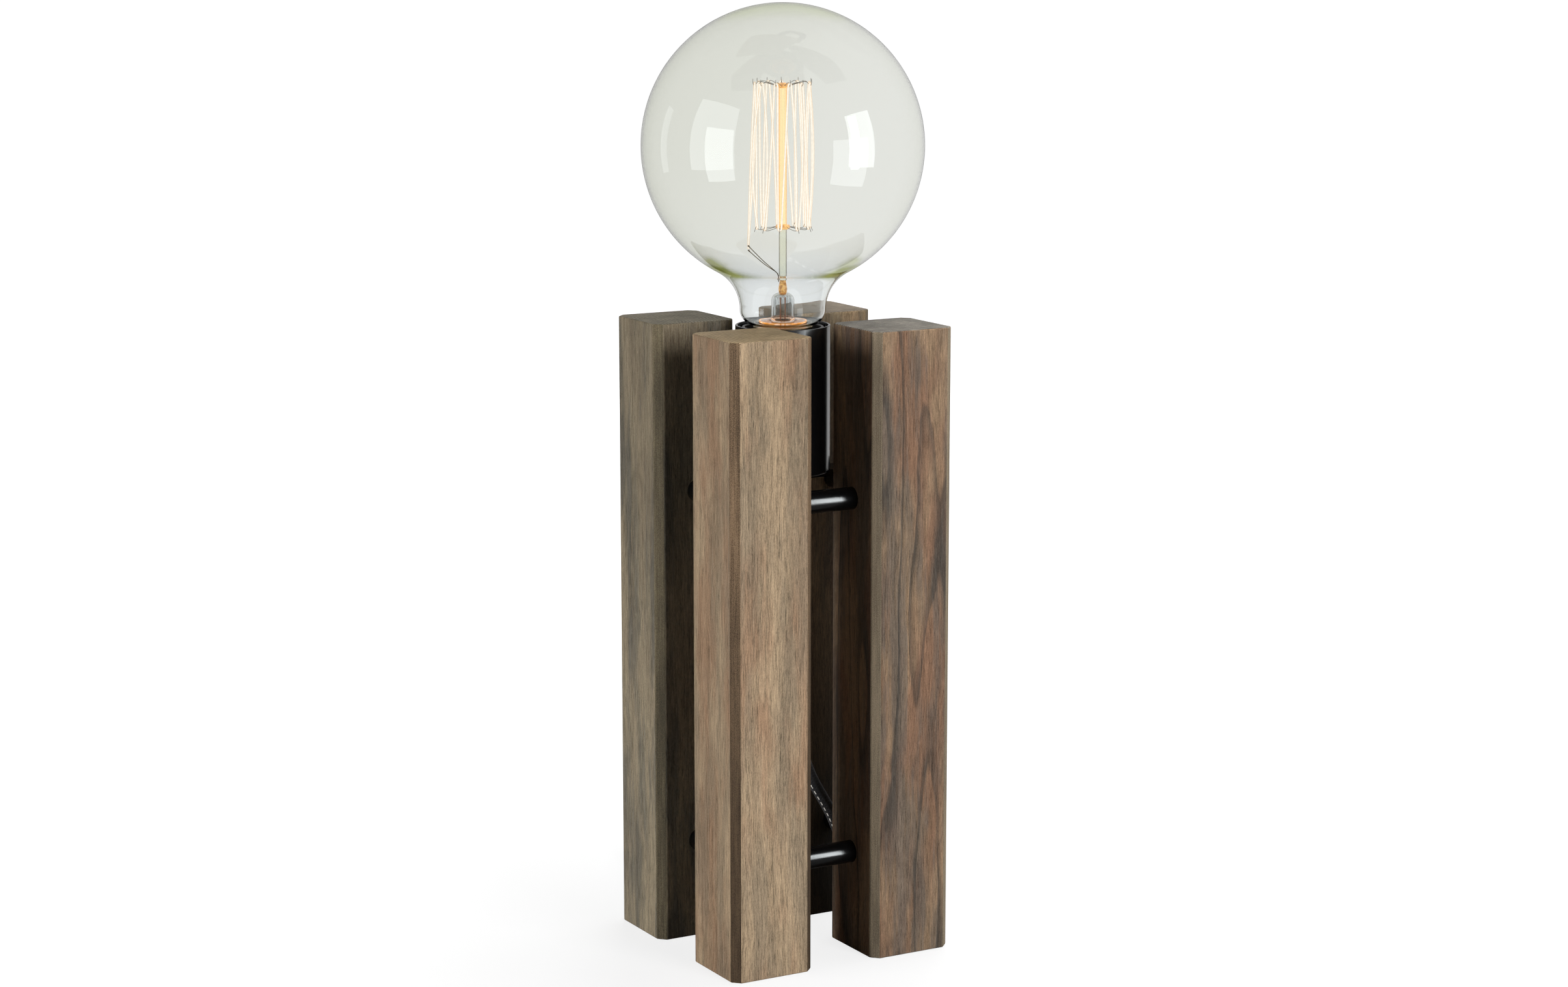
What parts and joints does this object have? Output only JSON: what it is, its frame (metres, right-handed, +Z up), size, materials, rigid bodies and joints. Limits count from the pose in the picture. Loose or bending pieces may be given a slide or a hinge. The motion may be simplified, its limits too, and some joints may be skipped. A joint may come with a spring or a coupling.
{
  "type": "table lamp",
  "caption": "Bare bulb table lamp: square timber posts held apart by black steel rods, a clear globe bulb in a steel cup between them, textile cord with in-line switch and flat plug.",
  "frame": {"origin": "on the table, under the vertical axis of the bulb and midway between the four posts", "axes": "+Z up along the bulb's axis; X and Y run square to the posts' faces, with -Y towards the front pair of posts"},
  "size_m": [0.1475, 0.223, 0.4188],
  "materials": {
    "wood": "stained, matt, straight fine grain",
    "black_steel": "satin black",
    "zinc_steel": "zinc plated",
    "black_nylon": "matt",
    "brown_insulation": "smooth",
    "blue_insulation": "smooth",
    "black_plastic": "semi-gloss",
    "white_insulator": "glazed",
    "brass": "bright",
    "solder": "dull",
    "clear_glass": "clear, polished",
    "black_glass": "polished",
    "amber_glass": "amber, polished",
    "support_wire": "drawn wire",
    "copper": "drawn wire",
    "filament_wire": "warm glow",
    "textile": "braided",
    "plated_pins": "nickel plated"
  },
  "bodies": {
    "lamp": {"post_front_left": "wood", "post_front_right": "wood", "post_back_left": "wood", "post_back_right": "wood", "low_rod_front": "black_steel", "low_rod_back": "black_steel", "low_rod_left": "black_steel", "low_rod_right": "black_steel", "high_rod_front": "black_steel", "high_rod_back": "black_steel", "high_rod_left": "black_steel", "high_rod_right": "black_steel", "cup_strap": "black_steel", "strap_screws": "black_steel", "cup": "black_steel", "nipple": "zinc_steel", "lock_nut": "zinc_steel", "switch_screws": "zinc_steel", "terminal_screws": "zinc_steel", "cord_grip": "black_nylon", "plug_relief": "black_nylon", "live_lead": "brown_insulation", "neutral_lead": "blue_insulation", "holder_base": "black_plastic", "holder_barrel": "black_plastic", "switch_base": "black_plastic", "switch_cover": "black_plastic", "plug_body": "black_plastic", "plug_pin_sleeves": "black_plastic", "holder_insulator": "white_insulator", "holder_thread_shell": "brass", "holder_centre_contact": "brass", "holder_side_contact": "brass", "live_terminal": "brass", "neutral_terminal": "brass", "switch_contacts": "brass", "cord_lamp_side": "textile", "cord_to_coil": "textile", "cord_coil": "textile", "cord_plug_side": "textile", "plug_pins": "plated_pins"},
    "bulb_tip": {"bulb_tip_contact": "solder"},
    "bulb": {"bulb_glass": "clear_glass", "bulb_cap_shell": "brass", "bulb_cap_insulator": "black_glass", "stem_flare": "clear_glass", "stem_pinch": "amber_glass", "stem_rod": "clear_glass", "lower_button": "amber_glass", "top_button": "amber_glass", "lower_supports": "support_wire", "top_supports": "support_wire", "filament": "filament_wire", "lead_wires": "support_wire", "stem_lead_wires": "copper"},
    "rocker": {"switch_rocker": "black_plastic"}
  },
  "joints": [
    {"name": "bulb_rise", "type": "slide", "parent": "lamp", "child": "bulb_tip", "axis": [0, 0, 1], "range_m": [0, 0.0327]},
    {"name": "bulb_turn", "type": "hinge", "parent": "bulb_tip", "child": "bulb", "pos_m": [0, 0, 0.3], "axis": [0, 0, 1], "range_deg": [0, 3240]},
    {"name": "switch_rocker", "type": "hinge", "parent": "lamp", "child": "rocker", "pos_m": [0.0735, 0.051, 0.011], "axis": [1, 0, 0], "range_deg": [0, 18]}
  ],
  "couplings": [
    {"joint": "bulb_rise", "follows": "bulb_turn", "m_per_rad": 0.00057751}
  ]
}
